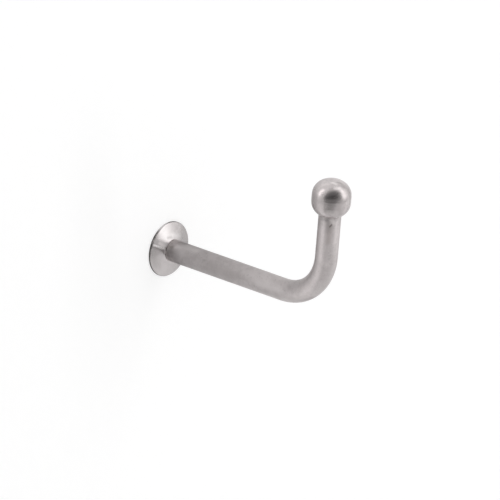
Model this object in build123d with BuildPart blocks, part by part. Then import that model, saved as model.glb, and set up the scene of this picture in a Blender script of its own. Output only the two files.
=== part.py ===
# Cup hook: a round bar with a turned ball at its tip and a wood screw at its root, bent up to a hook,
# and the pressed rose that the bar's shoulder clamps against the wall.
# The wall is the plane Y = 0. The arm leaves it along -Y, the screw enters it along +Y, and Z is up.
# The origin is on the bar's axis, in the face of the wall. Millimetres and degrees.

import os
from math import cos, radians, sin

from build123d import *

# The bar and its bend
bar_diameter = 5.0
arm_length = 45.5  # wall to the corner where the centre lines of arm and riser would meet
riser_length = 25.4  # that corner to the middle of the ball
bend_angle = 84.5  # turn from arm to riser, short of square, so that the tip leans out
bend_radius = 12.5  # of the centre line
foot_chamfer = 0.15  # broken edge where the bar sits on the rose

# The ball, a little flatter and fuller than a true sphere
ball_diameter = 8.65
ball_height = 8.15
ball_bulge = 0.2  # rise of its crown and of its girth between the round edges
ball_edge_radius = 3.3

# The rose, a shallow cone pressed from sheet, with a short skirt that stands on the wall
rose_diameter = 12.5
rose_height = 1.6  # wall to the flat crown under the bar's shoulder
rose_skirt = 0.45  # height of the upright rim
rose_sheet = 0.5
crown_margin = 0.1  # flat ring left round the foot of the bar
crown_bend_radius = 0.6
rim_bend_radius = 0.25

# The screw behind the rose: a plain neck through the sheet, then the core of the thread
thread_diameter = 4.3
core_diameter = 3.1
screw_length = 22.0  # wall to the tip
point_length = 5.0
tip_diameter = 0.4
neck_overlap = 0.2  # how far the neck reaches past the sheet
hole_clearance = 0.05

bar_radius = bar_diameter / 2
rose_radius = rose_diameter / 2
core_radius = core_diameter / 2
neck_radius = thread_diameter / 2
hole_radius = neck_radius + hole_clearance
ball_radius = ball_diameter / 2
ball_half = ball_height / 2
corner_x = ball_radius - ball_bulge
corner_y = ball_half - ball_bulge

shoulder_y = -rose_height
neck_end_y = shoulder_y + rose_sheet + neck_overlap
point_start_y = screw_length - point_length

riser_direction = Vector(0, -cos(radians(bend_angle)), sin(radians(bend_angle)))
ball_centre = Vector(0, -arm_length, 0) + riser_direction * riser_length

# Across the riser in its X and along it in its Y, which is the axis that the ball is turned about
across = Vector(1, 0, 0)
ball_plane = Plane(origin=ball_centre, x_dir=across, z_dir=across.cross(riser_direction))


with BuildPart() as hook:
    # Arm, bend and riser, swept from the shoulder to the middle of the ball
    with BuildLine(Plane.YZ) as centre_line:
        FilletPolyline(
            (shoulder_y, 0),
            (-arm_length, 0),
            (ball_centre.Y, ball_centre.Z),
            radius=bend_radius,
        )
    with BuildSketch(Plane(origin=centre_line.line @ 0, z_dir=centre_line.line % 0)):
        Circle(bar_radius)
    sweep(path=centre_line.line)
    chamfer(hook.edges().sort_by(Axis.Y)[-1], foot_chamfer)

    # Neck, core and gimlet point, turned on the root of the bar
    with BuildSketch(Plane.XY):
        with BuildLine():
            Polyline(
                (0, shoulder_y),
                (neck_radius, shoulder_y),
                (neck_radius, neck_end_y),
                (core_radius, neck_end_y),
                (core_radius, point_start_y),
                (tip_diameter / 2, screw_length),
                (0, screw_length),
                close=True,
            )
        make_face()
    revolve(axis=Axis.Y)

    # Ball, turned on the end of the bar
    with BuildSketch(ball_plane) as ball_profile:
        with BuildLine():
            TangentArc((0, ball_half), (corner_x, corner_y), tangent=(1, 0))
            ThreePointArc((corner_x, corner_y), (ball_radius, 0), (corner_x, -corner_y))
            TangentArc((0, -ball_half), (corner_x, -corner_y), tangent=(1, 0))
            Line((0, -ball_half), (0, ball_half))
        make_face()
        fillet(ball_profile.vertices().group_by(Axis.X)[-1], ball_edge_radius)
    revolve(axis=Axis(ball_centre, riser_direction))
hook.part.label = "hook"


with BuildPart() as rose:
    # Outer skin from the hole to the wall, thickened inwards by one sheet
    with BuildSketch(Plane.XY):
        with BuildLine():
            FilletPolyline(
                (hole_radius, shoulder_y),
                (bar_radius + crown_margin, shoulder_y),
                (rose_radius, -rose_skirt),
                (rose_radius, 0),
                radius=[crown_bend_radius, rim_bend_radius],
            )
            offset(amount=rose_sheet, side=Side.LEFT)
        make_face()
    revolve(axis=Axis.Y)
rose.part.label = "rose"


os.makedirs("parts", exist_ok=True)
export_step(hook.part, "parts/hook.step")
export_step(rose.part, "parts/rose.step")
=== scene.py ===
import math

import bpy
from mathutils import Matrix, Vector


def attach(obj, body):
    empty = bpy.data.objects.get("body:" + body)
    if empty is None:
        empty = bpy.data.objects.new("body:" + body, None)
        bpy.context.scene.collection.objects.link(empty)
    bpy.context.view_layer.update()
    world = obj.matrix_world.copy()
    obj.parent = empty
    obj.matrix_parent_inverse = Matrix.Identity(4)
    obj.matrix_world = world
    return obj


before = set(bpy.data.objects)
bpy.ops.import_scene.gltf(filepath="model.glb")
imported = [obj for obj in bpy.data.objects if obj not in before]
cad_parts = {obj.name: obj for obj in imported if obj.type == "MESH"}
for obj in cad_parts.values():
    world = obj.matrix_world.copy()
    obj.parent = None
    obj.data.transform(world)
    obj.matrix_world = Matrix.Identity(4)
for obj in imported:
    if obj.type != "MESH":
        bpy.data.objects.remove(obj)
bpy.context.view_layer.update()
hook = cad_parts["hook"]
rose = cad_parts["rose"]


# node maths: a wrapped socket that can be used in plain expressions
class Field:
    def __init__(self, tree, socket=None):
        self.tree = tree
        self.socket = socket

    def node(self, kind, settings, inputs, output=0):
        made = self.tree.nodes.new(kind)
        for name, value in settings.items():
            setattr(made, name, value)
        for key, value in inputs.items():
            if isinstance(value, Field):
                self.tree.links.new(value.socket, made.inputs[key])
            else:
                made.inputs[key].default_value = value
        return Field(self.tree, made.outputs[output] if made.outputs else None)

    def other(self, output):  # another output of the same node
        return Field(self.tree, self.socket.node.outputs[output])

    def maths(self, operation, first, second=0.0):
        return self.node("ShaderNodeMath", {"operation": operation}, {0: first, 1: second})

    def __add__(self, other):
        return self.maths("ADD", self, other)

    def __radd__(self, other):
        return self.maths("ADD", other, self)

    def __sub__(self, other):
        return self.maths("SUBTRACT", self, other)

    def __rsub__(self, other):
        return self.maths("SUBTRACT", other, self)

    def __mul__(self, other):
        return self.maths("MULTIPLY", self, other)

    def __rmul__(self, other):
        return self.maths("MULTIPLY", other, self)

    def __truediv__(self, other):
        return self.maths("DIVIDE", self, other)


def startMaterial(name):
    material = bpy.data.materials.new(name)
    material.use_nodes = True
    material.node_tree.nodes.clear()
    return material, Field(material.node_tree)


def metalOut(field, colour, roughness, height):  # height of the skin in metres
    normal = field.node("ShaderNodeBump", {}, {"Height": height, "Strength": 1.0, "Distance": 1.0})
    shader = field.node("ShaderNodeBsdfPrincipled", {}, {
        "Base Color": colour,
        "Metallic": 1.0,
        "Roughness": roughness,
        "Normal": normal,
    })
    field.node("ShaderNodeOutputMaterial", {}, {"Surface": shader})


def millimetres(field):  # place on the part, in the CAD's own units
    place = field.node("ShaderNodeTexCoord", {}, {}, "Object")
    return field.node("ShaderNodeVectorMath", {"operation": "SCALE"}, {"Vector": place, "Scale": 1000.0})


def axes(field, vector):
    split = field.node("ShaderNodeSeparateXYZ", {}, {0: vector})
    return split, split.other("Y"), split.other("Z")


def join(field, x, y, z):
    return field.node("ShaderNodeCombineXYZ", {}, {"X": x, "Y": y, "Z": z})


def noise(field, vector, scale, detail):
    return field.node("ShaderNodeTexNoise", {}, {"Vector": vector, "Scale": scale, "Detail": detail})


def swing(uneven):  # a noise as a swing to either side of nothing
    return uneven - 0.5


def fade(field, value, low, high):  # 0 at low, 1 at high, smooth between
    return field.node("ShaderNodeMapRange", {"interpolation_type": "SMOOTHSTEP"}, {
        "Value": value,
        "From Min": low,
        "From Max": high,
    })


def tint(field, share, first, second):
    mixed = field.node("ShaderNodeMix", {"data_type": "RGBA"}, {"Factor": share, 6: first, 7: second})
    return mixed.other(2)


def distance(field, first, second):
    return field.node("ShaderNodeVectorMath", {"operation": "DISTANCE"}, {0: first, 1: second}, "Value")


def mark(field, place, wander, spot):
    # share of a mark on the skin: a short line with a soft, uneven edge
    first = Vector(spot["from"])
    line = Vector(spot["to"]) - first
    width = spot["width"]
    offset = field.node("ShaderNodeVectorMath", {"operation": "SUBTRACT"}, {0: place, 1: first})
    ahead = field.node("ShaderNodeVectorMath", {"operation": "DOT_PRODUCT"},
                       {0: offset, 1: line / line.length_squared}, "Value")
    reach = field.maths("MAXIMUM", 0.0, field.maths("MINIMUM", 1.0, ahead))
    nearest = field.node("ShaderNodeVectorMath", {"operation": "SCALE"}, {"Vector": line, "Scale": reach})
    away = distance(field, offset, nearest)
    return (1 - fade(field, away + swing(wander) * width, 0.0, width)) * spot["strength"]


def addMarks(field, place, wander, spots, colour, height, roughness):
    for spot in spots.values():
        share = mark(field, place, wander, spot)
        colour = tint(field, share, colour, spot["colour"])
        height = height - share * spot.get("dent", 0.0)
        roughness = roughness + share * spot.get("roughness", 0.0)
    return colour, height, roughness


# centre line of the bar, in millimetres, as in the CAD
barLine = {
    "armLength": 45.5,  # wall to the corner where arm and riser would meet
    "riserLength": 25.4,  # that corner to the middle of the ball
    "bendRadius": 12.5,
    "bendAngle": math.radians(84.5),
}

# where a stretch of the bar changes its finish, in millimetres: start and end of the change
barZones = {
    "ball": (4.45, 4.75),  # from the middle of the ball
    "screw": (-1.2, -0.8),  # from the wall, towards the point
    "foot": (2.0, 5.0),  # foot and edge are along the bar, from the wall
    "edge": (1.75, 2.2),
}


def ballCentre():
    riser = barLine["riserLength"]
    angle = barLine["bendAngle"]
    return 0.0, -barLine["armLength"] - riser * math.cos(angle), riser * math.sin(angle)


def barPlaces(field, y, z):
    # along the bar, and inwards to the middle of the bend: the bar as if it were straight
    radius = barLine["bendRadius"]
    angle = barLine["bendAngle"]
    run = barLine["armLength"] - radius * math.tan(angle / 2)  # straight length before the bend
    out = 0 - y - run
    up = radius - z
    turned = field.maths("MAXIMUM", 0.0, field.maths("MINIMUM", angle, field.maths("ARCTAN2", out, up)))
    inward = radius - (out * field.maths("SINE", turned) + up * field.maths("COSINE", turned))
    pastBend = out * math.cos(angle) + (z - radius) * math.sin(angle)
    along = field.maths("MINIMUM", 0 - y, run) + radius * turned + field.maths("MAXIMUM", 0.0, pastBend)
    return along, inward


satin = {
    "colour": (0.575, 0.535, 0.533, 1),
    "dullColour": (0.49, 0.452, 0.45, 1),
    "pepperColour": (0.33, 0.3, 0.295, 1),
    "screwColour": (0.5, 0.485, 0.47, 1),
    "edgePaintedLight": (0.66, 0.62, 0.61, 1),  # painted light: a paler band where the bar meets the rose, lifting the shade there
    "pepperShare": 0.3,
    "edgePaintedLightShare": 0.6,
    "roughness": 0.335,
    "ballRoughness": 0.235,
    "screwRoughness": 0.42,
    "footRoughness": 0.1,  # added beside the rose
    "grain": (1.6, 2.0),  # grain to pepper are noises: scale per millimetre and detail
    "clouds": (0.42, 3.0),
    "mottle": (1.1, 1.5),
    "speck": (4.0, 2.0),
    "pepper": (1.9, 1.0),
    "grainStretch": 0.12,  # drawn lengthwise
    "dullMix": (0.6, 0.4, 0.25),  # shares of clouds, mottle and grain
    "dullLimits": (0.45, 0.85),
    "pepperLimits": (0.62, 0.72),
    "grainHeight": 0.00000072,  # heights in metres
    "speckHeight": 0.00000048,
    "mottleHeight": 0.000006,
    "grainRoughness": 0.06,  # swings of the roughness
    "mottleRoughness": 0.12,
    "ballEvenness": 0.6,  # share of those swings that the ball lacks
}

# wear and painted light on the bar, broad patches first: ends and half width of each in millimetres, strength
# and colour, and the depth of its dent in metres. Most patches are painted light and shade, each named so
# below;
# the stain, rub, tarnish, nick, smudge, spot and fleck are the bar's own marks
barWearAndPaintedLight = {
    # painted light: the whole riser made paler, standing in for the brighter room it reflects
    "riserPaintedLight": {"from": (0, -42.8, 3.8), "to": (0, -47.1, 17.0),
                  "width": 5.0, "strength": 1.0, "colour": (0.67, 0.623, 0.62, 1)},
    # painted highlight: a light streak down the riser
    "riserPaintedHighlight": {"from": (-1.85, -48.65, 17.3), "to": (-1.95, -47.95, 10.5),
                    "width": 1.4, "strength": 0.8, "colour": (0.78, 0.725, 0.72, 1)},
    # painted shade under the arm
    "armUnderPaintedShade": {"from": (-2.4, -29.0, -0.75), "to": (-2.3, -37.5, -0.6),
                 "width": 1.0, "strength": 0.6, "colour": (0.47, 0.435, 0.432, 1)},
    # painted shade under the bend
    "bendUnderPaintedShade": {"from": (-2.2, -38.2, -0.55), "to": (-0.8, -43.6, 1.0),
                  "width": 1.1, "strength": 0.8, "colour": (0.46, 0.426, 0.423, 1)},
    # painted light: the top of the arm made lighter near the rose
    "armTopPaintedLight": {"from": (-0.7, -4.5, 2.4), "to": (-0.9, -9.5, 2.35),
               "width": 1.3, "strength": 0.7, "colour": (0.72, 0.675, 0.67, 1)},
    "armStain": {"from": (-2.36, -14.5, 0.85), "to": (-2.42, -23.0, 0.6),
                 "width": 2.0, "strength": 0.5, "colour": (0.44, 0.405, 0.4, 1)},
    "armRub": {"from": (-2.43, -28.5, 0.55), "to": (-2.37, -35.4, 0.85),
               "width": 1.1, "strength": 0.6, "colour": (0.64, 0.6, 0.598, 1)},
    # painted light: a paler patch that lifts the shade on the arm beside the rose
    "footPaintedLight": {"from": (-1.9, -4.2, 1.6), "to": (-2.1, -6.0, 1.37),
                 "width": 1.6, "strength": 0.8, "colour": (0.68, 0.635, 0.632, 1)},
    "riserTarnish": {"from": (-1.8, -49.05, 19.4), "to": (-1.84, -48.76, 15.8),
                     "width": 1.2, "strength": 0.4, "colour": (0.49, 0.43, 0.412, 1)},
    # painted shade under the ball
    "neckPaintedShade": {"from": (-2.5, -47.5, 21.3), "to": (-2.35, -48.3, 21.2),
                 "width": 1.0, "strength": 0.8, "colour": (0.33, 0.307, 0.304, 1)},
    # painted light on the riser just under the ball
    "neckPaintedLight": {"from": (-1.6, -49.45, 20.9), "to": (-1.3, -49.6, 20.2),
                 "width": 0.8, "strength": 0.8, "colour": (0.76, 0.71, 0.7, 1)},
    # painted highlight: a light line down the riser's right side
    "riserEdgeHighlight": {"from": (-0.5, -49.85, 20.3), "to": (-0.5, -49.3, 15.5),
                  "width": 0.7, "strength": 0.8, "colour": (0.72, 0.67, 0.666, 1)},
    # painted dark reflection on the ball
    "ballRightDarkReflection": {"from": (-1.35, -51.95, 26.9), "to": (-1.9, -51.75, 25.9),
                 "width": 0.7, "strength": 0.7, "colour": (0.4, 0.372, 0.368, 1)},
    # painted highlight on top of the ball
    "ballPaintedFlare": {"from": (-1.6, -50.35, 28.75), "to": (-0.6, -50.73, 28.72),
                  "width": 0.7, "strength": 0.9, "colour": (0.82, 0.77, 0.765, 1)},
    # painted dark reflection on the ball's side
    "ballLeftDarkReflection": {"from": (-4.1, -48.85, 26.1), "to": (-3.0, -51.0, 25.7),
                  "width": 1.6, "strength": 0.7, "colour": (0.38, 0.355, 0.35, 1)},
    # painted dark reflection low on the ball
    "ballLowDarkReflection": {"from": (-3.87, -49.8, 24.4), "to": (-3.1, -50.75, 24.05),
                 "width": 1.1, "strength": 0.6, "colour": (0.38, 0.355, 0.35, 1)},
    # painted highlights on top of the ball
    "ballShineHighlight": {"from": (-2.4, -47.6, 29.1), "to": (-1.9, -48.2, 29.2),
                  "width": 0.8, "strength": 0.4, "colour": (0.74, 0.69, 0.69, 1)},
    "ballGleamHighlight": {"from": (-0.6, -48.8, 29.3), "to": (-0.5, -49.6, 29.15),
                  "width": 0.7, "strength": 0.8, "colour": (0.74, 0.7, 0.69, 1)},
    "riserNick": {"from": (-1.56, -49.38, 19.98), "to": (-1.83, -49.08, 19.5),
                  "width": 0.25, "strength": 0.75, "colour": (0.15, 0.125, 0.115, 1), "dent": 0.00004},
    "ballSmudge": {"from": (0.42, -49.4, 29.2), "to": (0.72, -50.2, 28.97),
                   "width": 0.6, "strength": 0.6, "colour": (0.3, 0.28, 0.275, 1), "dent": 0.00001},
    "ballSpot": {"from": (-3.62, -50.32, 25.7), "to": (-3.6, -50.35, 25.5),
                 "width": 0.45, "strength": 0.5, "colour": (0.36, 0.335, 0.33, 1)},
    "armFleck": {"from": (-2.07, -12.4, 1.4), "to": (-2.05, -12.8, 1.45),
                 "width": 0.4, "strength": 0.5, "colour": (0.36, 0.33, 0.325, 1)},
    # painted dark reflection on the bar where it meets the rose
    "footDarkReflection": {"from": (-1.95, -1.9, 1.65), "to": (-1.85, -3.0, 1.69),
                  "width": 0.7, "strength": 0.6, "colour": (0.25, 0.232, 0.215, 1)},
    # a darker patch low on the bar beside the rose
    "footDarkPatch": {"from": (-2.46, -2.0, 0.4), "to": (-2.3, -2.6, -1.0),
                 "width": 1.0, "strength": 0.45, "colour": (0.28, 0.262, 0.25, 1)},
}


def satinSteel():
    material, field = startMaterial("satinSteel")
    place = millimetres(field)
    x, y, z = axes(field, place)
    along, inward = barPlaces(field, y, z)
    straight = join(field, along * satin["grainStretch"], x, inward)
    ball = 1 - fade(field, distance(field, place, ballCentre()), *barZones["ball"])
    screw = fade(field, y, *barZones["screw"])
    foot = 1 - fade(field, along, *barZones["foot"])
    edge = 1 - fade(field, along, *barZones["edge"])

    grain = noise(field, straight, *satin["grain"])
    clouds = noise(field, place, *satin["clouds"])  # uneven pickling and handling
    mottle = noise(field, place, *satin["mottle"])
    speck = noise(field, place, *satin["speck"])
    pepper = fade(field, noise(field, place, *satin["pepper"]), *satin["pepperLimits"])
    cloudShare, mottleShare, grainShare = satin["dullMix"]
    dull = fade(field, clouds * cloudShare + mottle * mottleShare + grain * grainShare, *satin["dullLimits"])
    colour = tint(field, dull, satin["colour"], satin["dullColour"])
    colour = tint(field, pepper * satin["pepperShare"], colour, satin["pepperColour"])
    height = grain * satin["grainHeight"] + speck * satin["speckHeight"] + mottle * satin["mottleHeight"]

    base = satin["roughness"] + ball * (satin["ballRoughness"] - satin["roughness"])
    base = base + screw * (satin["screwRoughness"] - satin["roughness"])
    base = base + (foot + edge) * satin["footRoughness"]
    uneven = swing(grain) * satin["grainRoughness"] + swing(mottle) * satin["mottleRoughness"]
    roughness = base + uneven * (1 - ball * satin["ballEvenness"])

    colour, height, roughness = addMarks(field, place, speck, barWearAndPaintedLight, colour, height, roughness)
    colour = tint(field, edge * satin["edgePaintedLightShare"], colour, satin["edgePaintedLight"])
    colour = tint(field, screw, colour, satin["screwColour"])
    metalOut(field, colour, roughness, height)
    return material


polish = {
    "colour": (0.585, 0.552, 0.55, 1),
    "dullColour": (0.515, 0.484, 0.48, 1),
    "roughness": 0.22,
    "ringScales": (5.0, 2.0),  # spun finish, per millimetre outwards and towards the wall
    "rings": (1.0, 3.0),  # rings, clouds and speck are noises: scale and detail
    "clouds": (0.5, 3.0),
    "speck": (5.0, 2.0),
    "dullLimits": (0.45, 0.75),
    "ringHeight": 0.000003,  # heights in metres
    "cloudHeight": 0.000015,
    "ringRoughness": 0.06,  # swings of the roughness
    "cloudRoughness": 0.08,
}

# marks on the rose, as on the bar: darker and brighter patches that are painted shade, painted dark
# reflections and painted highlights, a raised crease with a painted highlight along it, and a pit, some of
# them rougher than the rest
roseBlemishesAndPaintedLight = {
    # painted shade dimming the cone's reflection
    "conePaintedShade": {"from": (-4.5, -0.3, 4.2), "to": (-5.1, -0.45, 3.2),
                 "width": 1.2, "strength": 0.7, "colour": (0.43, 0.405, 0.402, 1)},
    # painted shade on the lower left of the cone
    "coneLowPaintedShade": {"from": (-5.95, -0.5, 0.6), "to": (-4.9, -0.8, -1.8),
                 "width": 1.9, "strength": 0.9, "colour": (0.47, 0.443, 0.438, 1)},
    # painted highlight: the bright fan of the window's reflection on the cone
    "coneFanHighlight": {"from": (-2.1, -0.5, 5.6), "to": (-1.9, -1.1, 3.7),
                  "width": 2.0, "strength": 0.9, "colour": (0.62, 0.594, 0.592, 1)},
    # rougher, and painted lighter as a highlight along the crease
    "coneHazeAndHighlight": {"from": (-5.06, -0.52, 3.28), "to": (-2.45, -1.4, 2.11),
                 "width": 1.1, "strength": 1.0, "colour": (0.64, 0.606, 0.604, 1), "roughness": 0.25},
    "coneShade": {"from": (-3.75, -0.4, 4.75), "to": (-4.3, -0.5, 3.9),
                  "width": 0.6, "strength": 0.8, "colour": (0.4, 0.377, 0.374, 1)},
    # painted shade dimming the bright fan next to the bar
    "crownPaintedShade": {"from": (-1.3, -1.3, 3.3), "to": (-0.4, -1.4, 3.2),
                  "width": 0.6, "strength": 0.8, "colour": (0.42, 0.398, 0.395, 1)},
    # painted highlight on the right of the cone
    "coneRightHighlight": {"from": (0.3, -1.3, 3.5), "to": (2.6, -1.3, 2.4),
                  "width": 1.0, "strength": 0.7, "colour": (0.72, 0.69, 0.688, 1)},
    # rougher, and painted light where the arm's dark reflection falls below the crease
    "belowCreasePaintedLight": {"from": (-3.7, -1.0, 2.6), "to": (-2.6, -1.42, 1.75),
                   "width": 0.75, "strength": 0.9, "colour": (0.95, 0.91, 0.905, 1), "roughness": 0.3},
    # painted shade along the left rim
    "rimPaintedShade": {"from": (-4.5, -0.17, 4.33), "to": (-5.75, -0.42, 2.2),
                "width": 0.45, "strength": 0.7, "colour": (0.3, 0.28, 0.275, 1)},
    # a raised crease, with a painted highlight along it
    "crease": {"from": (-5.3, -0.55, 2.62), "to": (-2.7, -1.5, 1.22),
               "width": 0.34, "strength": 1.0, "colour": (0.92, 0.89, 0.885, 1), "dent": -0.00004},
    "pit": {"from": (-3.0, -1.3, 4.1), "to": (-3.05, -1.3, 4.05),
            "width": 0.22, "strength": 0.7, "colour": (0.3, 0.28, 0.275, 1), "dent": 0.00002},
    # painted dark reflection of the arm on the rose
    "strokeDarkReflection": {"from": (-3.32, -1.33, 1.0), "to": (-2.93, -1.5, 0.02),
                   "width": 0.34, "strength": 0.6, "colour": (0.31, 0.29, 0.28, 1)},
    # rougher, and painted light on the flat crown round the bar
    "crownPaintedLight": {"from": (-2.1, -1.6, 1.6), "to": (-0.9, -1.6, 2.45),
                  "width": 0.4, "strength": 0.9, "colour": (0.92, 0.885, 0.88, 1), "roughness": 0.3},
    # rougher, and painted light on the crown's lip
    "crownLipPaintedLight": {"from": (-2.55, -1.6, 1.1), "to": (-2.6, -1.6, 0.2),
                 "width": 0.4, "strength": 0.8, "colour": (0.9, 0.865, 0.86, 1), "roughness": 0.3},
}


def polishedSteel():
    material, field = startMaterial("polishedSteel")
    place = millimetres(field)
    x, y, z = axes(field, place)
    outwards, inwards = polish["ringScales"]
    reach = field.maths("SQRT", x * x + z * z)
    rings = noise(field, join(field, reach * outwards, y * inwards, 0.0), *polish["rings"])
    clouds = noise(field, place, *polish["clouds"])
    speck = noise(field, place, *polish["speck"])
    colour = tint(field, fade(field, clouds, *polish["dullLimits"]), polish["colour"], polish["dullColour"])
    height = rings * polish["ringHeight"] + clouds * polish["cloudHeight"]
    uneven = swing(rings) * polish["ringRoughness"] + swing(clouds) * polish["cloudRoughness"]
    roughness = polish["roughness"] + uneven
    colour, height, roughness = addMarks(field, place, speck, roseBlemishesAndPaintedLight, colour, height, roughness)
    metalOut(field, colour, roughness, height)
    return material


def dress(piece, material):
    piece.data.materials.clear()
    piece.data.materials.append(material)


steel = satinSteel()
dress(hook, steel)
dress(rose, polishedSteel())
print("materials on", hook.name, "and", rose.name)


# wood thread: a ridge that winds right-handed from behind the rose to the gimlet point
thread = {
    "coreRadius": 0.00155,
    "crestRadius": 0.00215,
    "pitch": 0.0018,
    "start": 0.0006,  # start, pointStart and end are along the screw, from the wall
    "pointStart": 0.017,
    "end": 0.0214,
    "tipRadius": 0.0003,
    "runIn": 0.0012,  # length in which the ridge rises from the core
    "runInShare": 0.05,  # size of its section where it starts
    "tipShare": 0.3,  # and where it ends at the point
    "rootWidth": 0.00085,
    "crestWidth": 0.0001,
    "sink": 0.00008,  # foot of the ridge below the skin of the core
    "stepsPerTurn": 40,
    "sharpAngle": 35,  # degrees between faces that meet in a sharp edge
}


def threadTree():
    tree = bpy.data.node_groups.new("woodThread", "GeometryNodeTree")
    sizes = {
        "Core Radius": thread["coreRadius"],
        "Ridge Height": thread["crestRadius"] - thread["coreRadius"],
        "Pitch": thread["pitch"],
        "Start": thread["start"],
        "Point Start": thread["pointStart"],
        "End": thread["end"],
        "Tip Radius": thread["tipRadius"],
        "Run In": thread["runIn"],
        "Run In Share": thread["runInShare"],
        "Tip Share": thread["tipShare"],
        "Root Width": thread["rootWidth"],
        "Crest Width": thread["crestWidth"],
        "Sink": thread["sink"],
    }
    for name in sizes:
        tree.interface.new_socket(name, in_out="INPUT", socket_type="NodeSocketFloat")
    tree.interface.new_socket("Steps", in_out="INPUT", socket_type="NodeSocketInt")
    tree.interface.new_socket("Finish", in_out="INPUT", socket_type="NodeSocketMaterial")
    tree.interface.new_socket("Geometry", in_out="OUTPUT", socket_type="NodeSocketGeometry")
    field = Field(tree)
    given = field.node("NodeGroupInput", {}, {}, "Core Radius")
    size = {name: given.other(name) for name in sizes}

    # places along the helix, wound about Z
    share = field.node("GeometryNodeSplineParameter", {}, {}, "Factor")
    along = size["Start"] + share * (size["End"] - size["Start"])
    turn = along / size["Pitch"] * math.tau
    taper = field.node("ShaderNodeMapRange", {}, {
        "Value": along,
        "From Min": size["Point Start"],
        "From Max": size["End"],
        "To Min": 1.0,
        "To Max": 0.0,
    })
    radius = size["Tip Radius"] + taper * (size["Core Radius"] - size["Tip Radius"])
    place = join(field, radius * field.maths("COSINE", turn), radius * field.maths("SINE", turn), along)
    line = field.node("GeometryNodeCurvePrimitiveLine", {}, {})
    line = field.node("GeometryNodeResampleCurve", {}, {"Curve": line, "Count": given.other("Steps")})
    helix = field.node("GeometryNodeSetPosition", {}, {"Geometry": line, "Position": place})
    helix = field.node("GeometryNodeSetCurveNormal", {"mode": "Z_UP"}, {"Curve": helix})

    # section of the ridge, its foot a little inside the core
    tall = size["Ridge Height"] + size["Sink"]
    section = field.node("GeometryNodeCurvePrimitiveQuadrilateral", {"mode": "TRAPEZOID"}, {
        "Height": tall,
        "Bottom Width": size["Root Width"],
        "Top Width": size["Crest Width"],
        "Offset": 0.0,
    })
    section = field.node("GeometryNodeTransform", {}, {
        "Geometry": section,
        "Translation": join(field, tall / 2 - size["Sink"], 0.0, 0.0),
        "Rotation": (0, 0, -math.pi / 2),
    })
    rise = field.maths("MINIMUM", 1.0, (along - size["Start"]) / size["Run In"] + size["Run In Share"])
    ridge = field.node("GeometryNodeCurveToMesh", {}, {
        "Curve": helix,
        "Profile Curve": section,
        "Scale": rise * (size["Tip Share"] + (1 - size["Tip Share"]) * taper),
        "Fill Caps": True,
    })
    ridge = field.node("GeometryNodeTransform", {}, {"Geometry": ridge, "Rotation": (-math.pi / 2, 0, 0)})
    ridge = field.node("GeometryNodeRealizeInstances", {}, {"Geometry": ridge})
    ridge = field.node("GeometryNodeSetMaterial", {}, {"Geometry": ridge, "Material": given.other("Finish")})
    field.node("NodeGroupOutput", {}, {"Geometry": ridge})
    turns = (thread["end"] - thread["start"]) / thread["pitch"]
    return tree, {**sizes, "Steps": int(turns * thread["stepsPerTurn"])}


def makeThread(finish):
    tree, sizes = threadTree()
    made = bpy.data.objects.new("wood_thread", bpy.data.meshes.new("wood_thread"))
    bpy.context.scene.collection.objects.link(made)
    modifier = made.modifiers.new("woodThread", "NODES")
    modifier.node_group = tree
    sockets = {item.name: item.identifier for item in tree.interface.items_tree if item.in_out == "INPUT"}
    for name, value in sizes.items():
        modifier[sockets[name]] = value
    modifier[sockets["Finish"]] = finish
    plain = bpy.data.meshes.new_from_object(made.evaluated_get(bpy.context.evaluated_depsgraph_get()))
    made.modifiers.remove(modifier)
    made.data = plain
    plain.name = "wood_thread"
    plain.set_sharp_from_angle(angle=math.radians(thread["sharpAngle"]))
    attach(made, "root")
    return made


threadPiece = makeThread(steel)
print("thread wound", len(threadPiece.data.polygons), "faces")


def makeSheet(name, corners, material):
    mesh = bpy.data.meshes.new(name)
    mesh.from_pydata(corners, [], [range(len(corners))])
    sheet = bpy.data.objects.new(name, mesh)
    bpy.context.scene.collection.objects.link(sheet)
    mesh.materials.append(material)
    return sheet


def frontOut(field, shader):  # solid from the front, clear from behind
    behind = field.node("ShaderNodeNewGeometry", {}, {}, "Backfacing")
    clear = field.node("ShaderNodeBsdfTransparent", {}, {})
    both = field.node("ShaderNodeMixShader", {}, {"Fac": behind, 1: shader, 2: clear})
    field.node("ShaderNodeOutputMaterial", {}, {"Surface": both})


# wall that the hook is screwed into, white from the room
wall = {
    "halfWidth": 1.5,
    "halfHeight": 1.5,
    "gap": 0.00002,  # behind the seat of the rose
    "white": 0.9,  # as the floor sees it
    "shade": 0.65,  # share of the white that can fall into shadow
    "glow": 0.425,
}


def wallMaterial():
    material, field = startMaterial("whiteWall")
    material.cycles.emission_sampling = "NONE"  # left to the metal's own rays, as the cards are
    ray = field.node("ShaderNodeLightPath", {}, {}, "Is Camera Ray")
    seen = ray + ray.other("Is Glossy Ray") + ray.other("Is Transmission Ray")
    lit = field.node("ShaderNodeBsdfDiffuse", {}, {"Color": (wall["white"],) * 3 + (1,)})
    shade = field.node("ShaderNodeBsdfDiffuse", {}, {"Color": (wall["shade"],) * 3 + (1,)})
    glow = field.node("ShaderNodeEmission", {}, {"Strength": wall["glow"]})
    white = field.node("ShaderNodeAddShader", {}, {0: shade, 1: glow})
    frontOut(field, field.node("ShaderNodeMixShader", {}, {"Fac": seen, 1: lit, 2: white}))
    return material


def makeWall():
    wide = wall["halfWidth"]
    tall = wall["halfHeight"]
    back = wall["gap"]
    corners = [(-wide, back, -tall), (wide, back, -tall), (wide, back, tall), (-wide, back, tall)]
    makeSheet("wall", corners, wallMaterial())


makeWall()
print("wall up")


floor = {
    "drop": 0.3,  # below the hook
    "half": 1.5,
    "pale": (0.9, 0.9, 0.9, 1),
}


def floorMaterial():
    material, field = startMaterial("paleFloor")
    frontOut(field, field.node("ShaderNodeBsdfDiffuse", {}, {"Color": floor["pale"]}))
    return material


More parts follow.
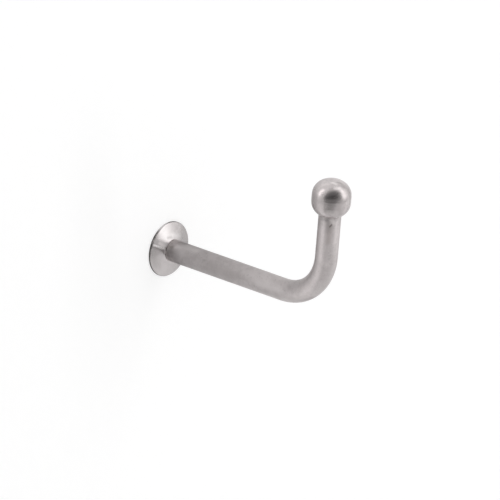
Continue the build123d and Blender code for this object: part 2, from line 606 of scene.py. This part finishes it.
def makeFloor():
    half = floor["half"]
    low = -floor["drop"]
    corners = [(-half, -half, low), (half, -half, low), (half, half, low), (-half, half, low)]
    makeSheet("floor", corners, floorMaterial())


makeFloor()
print("floor laid")


def toward(azimuth, elevation):  # direction from the hook, azimuth 0 straight out of the wall
    a = math.radians(azimuth)
    e = math.radians(elevation)
    return Vector((math.sin(a) * math.cos(e), -math.cos(a) * math.cos(e), math.sin(e)))


# soft-edged cards that only the metal sees: place, half width and height in metres, share before the edge
# fades, and level. They face the hook, or what they aim at, and may lean by some degrees. Those on the wall
# lie flat, and a hollow one is clear in its middle.
cards = {
    "room": {"place": toward(-46, 10) * 0.3, "half": (0.41, 0.28), "solid": 0.45, "level": 0.27},
    "gap": {"place": toward(-28, 40) * 0.28, "half": (0.3, 0.18), "solid": 0.3, "level": 0.16},
    "slot": {"place": toward(-41, 22) * 0.26, "half": (0.3, 0.09), "solid": 0.3, "level": 0.09},
    "window": {"place": toward(32, 25) * 0.6, "half": (0.28, 0.65), "solid": 0.25, "level": 1.85, "lean": 11},
    "bounce": {"place": toward(45, 24) * 0.62, "half": (0.4, 0.95), "solid": 0.1, "level": 1.13},
    "table": {"place": toward(45, -22) * 0.17, "half": (0.08, 0.116), "solid": 0.17, "level": 1.05},
    "strip": {"place": Vector((-0.043, -0.017, 0.062)), "half": (0.012, 0.045),
              "solid": 0.5, "level": 2.35, "aim": (0, -0.0479, 0.0253)},
    # shade, low and contact are painted shade: dark sheets on the wall round the hook that only the metal
    # sees; glint is a painted bright patch on the wall
    "shade": {"place": Vector((-0.002, -0.00005, -0.002)), "half": (0.079, 0.079),
              "solid": 0.11, "level": 0.56, "onWall": True},
    "low": {"place": Vector((0.07, -0.00005, -0.13)), "half": (0.09, 0.09),
            "solid": 0.3, "level": 0.62, "onWall": True},
    "contactShade": {"place": Vector((0, -0.00008, 0)), "half": (0.0088, 0.0088),
                "solid": 0.75, "level": 0.08, "onWall": True, "hollow": (0.68, 0.69)},
    "glint": {"place": Vector((-0.0018, -0.0001, 0.0064)), "half": (0.0027, 0.0027),
              "solid": 0.3, "level": 0.9, "onWall": True},
}


def cardMaterial(name, card):
    material, field = startMaterial(name + "Card")
    material.cycles.emission_sampling = "NONE"
    glow = field.node("ShaderNodeEmission", {}, {"Strength": card["level"]})
    clear = field.node("ShaderNodeBsdfTransparent", {}, {})
    place = field.node("ShaderNodeTexCoord", {}, {}, "Object")
    away = field.node("ShaderNodeVectorMath", {"operation": "LENGTH"}, {0: place}, "Value")
    behind = field.node("ShaderNodeNewGeometry", {}, {}, "Backfacing")
    soft = field.maths("MAXIMUM", behind, fade(field, away, card["solid"], 1.0))
    if "hollow" in card:
        soft = field.maths("MAXIMUM", soft, 1 - fade(field, away, *card["hollow"]))
    mixed = field.node("ShaderNodeMixShader", {}, {"Fac": soft, 1: glow, 2: clear})
    field.node("ShaderNodeOutputMaterial", {}, {"Surface": mixed})
    return material


def makeCard(name, card):
    corners = [(-1, -1, 0), (1, -1, 0), (1, 1, 0), (-1, 1, 0)]
    made = makeSheet(name + "_card", corners, cardMaterial(name, card))
    made.location = card["place"]
    made.scale = (*card["half"], 1)
    if card.get("onWall"):
        made.rotation_euler = (math.pi / 2, 0, 0)
    else:
        facing = Vector(card.get("aim", (0, 0, 0))) - card["place"]
        made.rotation_euler = facing.to_track_quat("Z", "Y").to_euler()
        made.rotation_euler.rotate_axis("Z", math.radians(card.get("lean", 0)))
    made.visible_camera = False
    made.visible_diffuse = False
    made.visible_shadow = False


for name, card in cards.items():
    makeCard(name, card)
print("cards", ", ".join(cards))


# soft box that faces the hook and lights the wall
lamps = {
    "key": {"place": toward(25, 16) * 0.6, "width": 0.14, "height": 0.75, "watts": 0.7},
}


def makeLamp(name, lamp):
    data = bpy.data.lights.new(name, "AREA")
    data.shape = "RECTANGLE"
    data.size = lamp["width"]
    data.size_y = lamp["height"]
    data.energy = lamp["watts"]
    made = bpy.data.objects.new(name, data)
    bpy.context.scene.collection.objects.link(made)
    made.location = lamp["place"]
    made.rotation_euler = lamp["place"].to_track_quat("Z", "Y").to_euler()
    made.visible_camera = False
    made.visible_glossy = False


for name, lamp in lamps.items():
    makeLamp(name, lamp)
print("lamps", ", ".join(lamps))


camera = {
    "azimuth": -48.076,
    "elevation": 22.925,
    "distance": 1.5,
    "lens": 494.78,
    "aim": (-0.0002362, -0.0245887, 0.0066545),
}


def placeCamera():
    back = toward(camera["azimuth"], camera["elevation"])
    data = bpy.data.cameras.new("camera")
    data.lens = camera["lens"]
    made = bpy.data.objects.new("camera", data)
    bpy.context.scene.collection.objects.link(made)
    made.location = Vector(camera["aim"]) + back * camera["distance"]
    made.rotation_euler = (-back).to_track_quat("-Z", "Y").to_euler()
    bpy.context.scene.camera = made


placeCamera()
print("camera set")


world = {
    "strength": 0.97,
}


def lightWorld():
    made = bpy.data.worlds.new("studio")
    bpy.context.scene.world = made
    made.use_nodes = True
    made.node_tree.nodes.clear()
    field = Field(made.node_tree)
    glow = field.node("ShaderNodeBackground", {}, {"Strength": world["strength"]})
    field.node("ShaderNodeOutputWorld", {}, {"Surface": glow})


lightWorld()
bpy.context.scene.view_settings.view_transform = "Standard"
print("world lit")
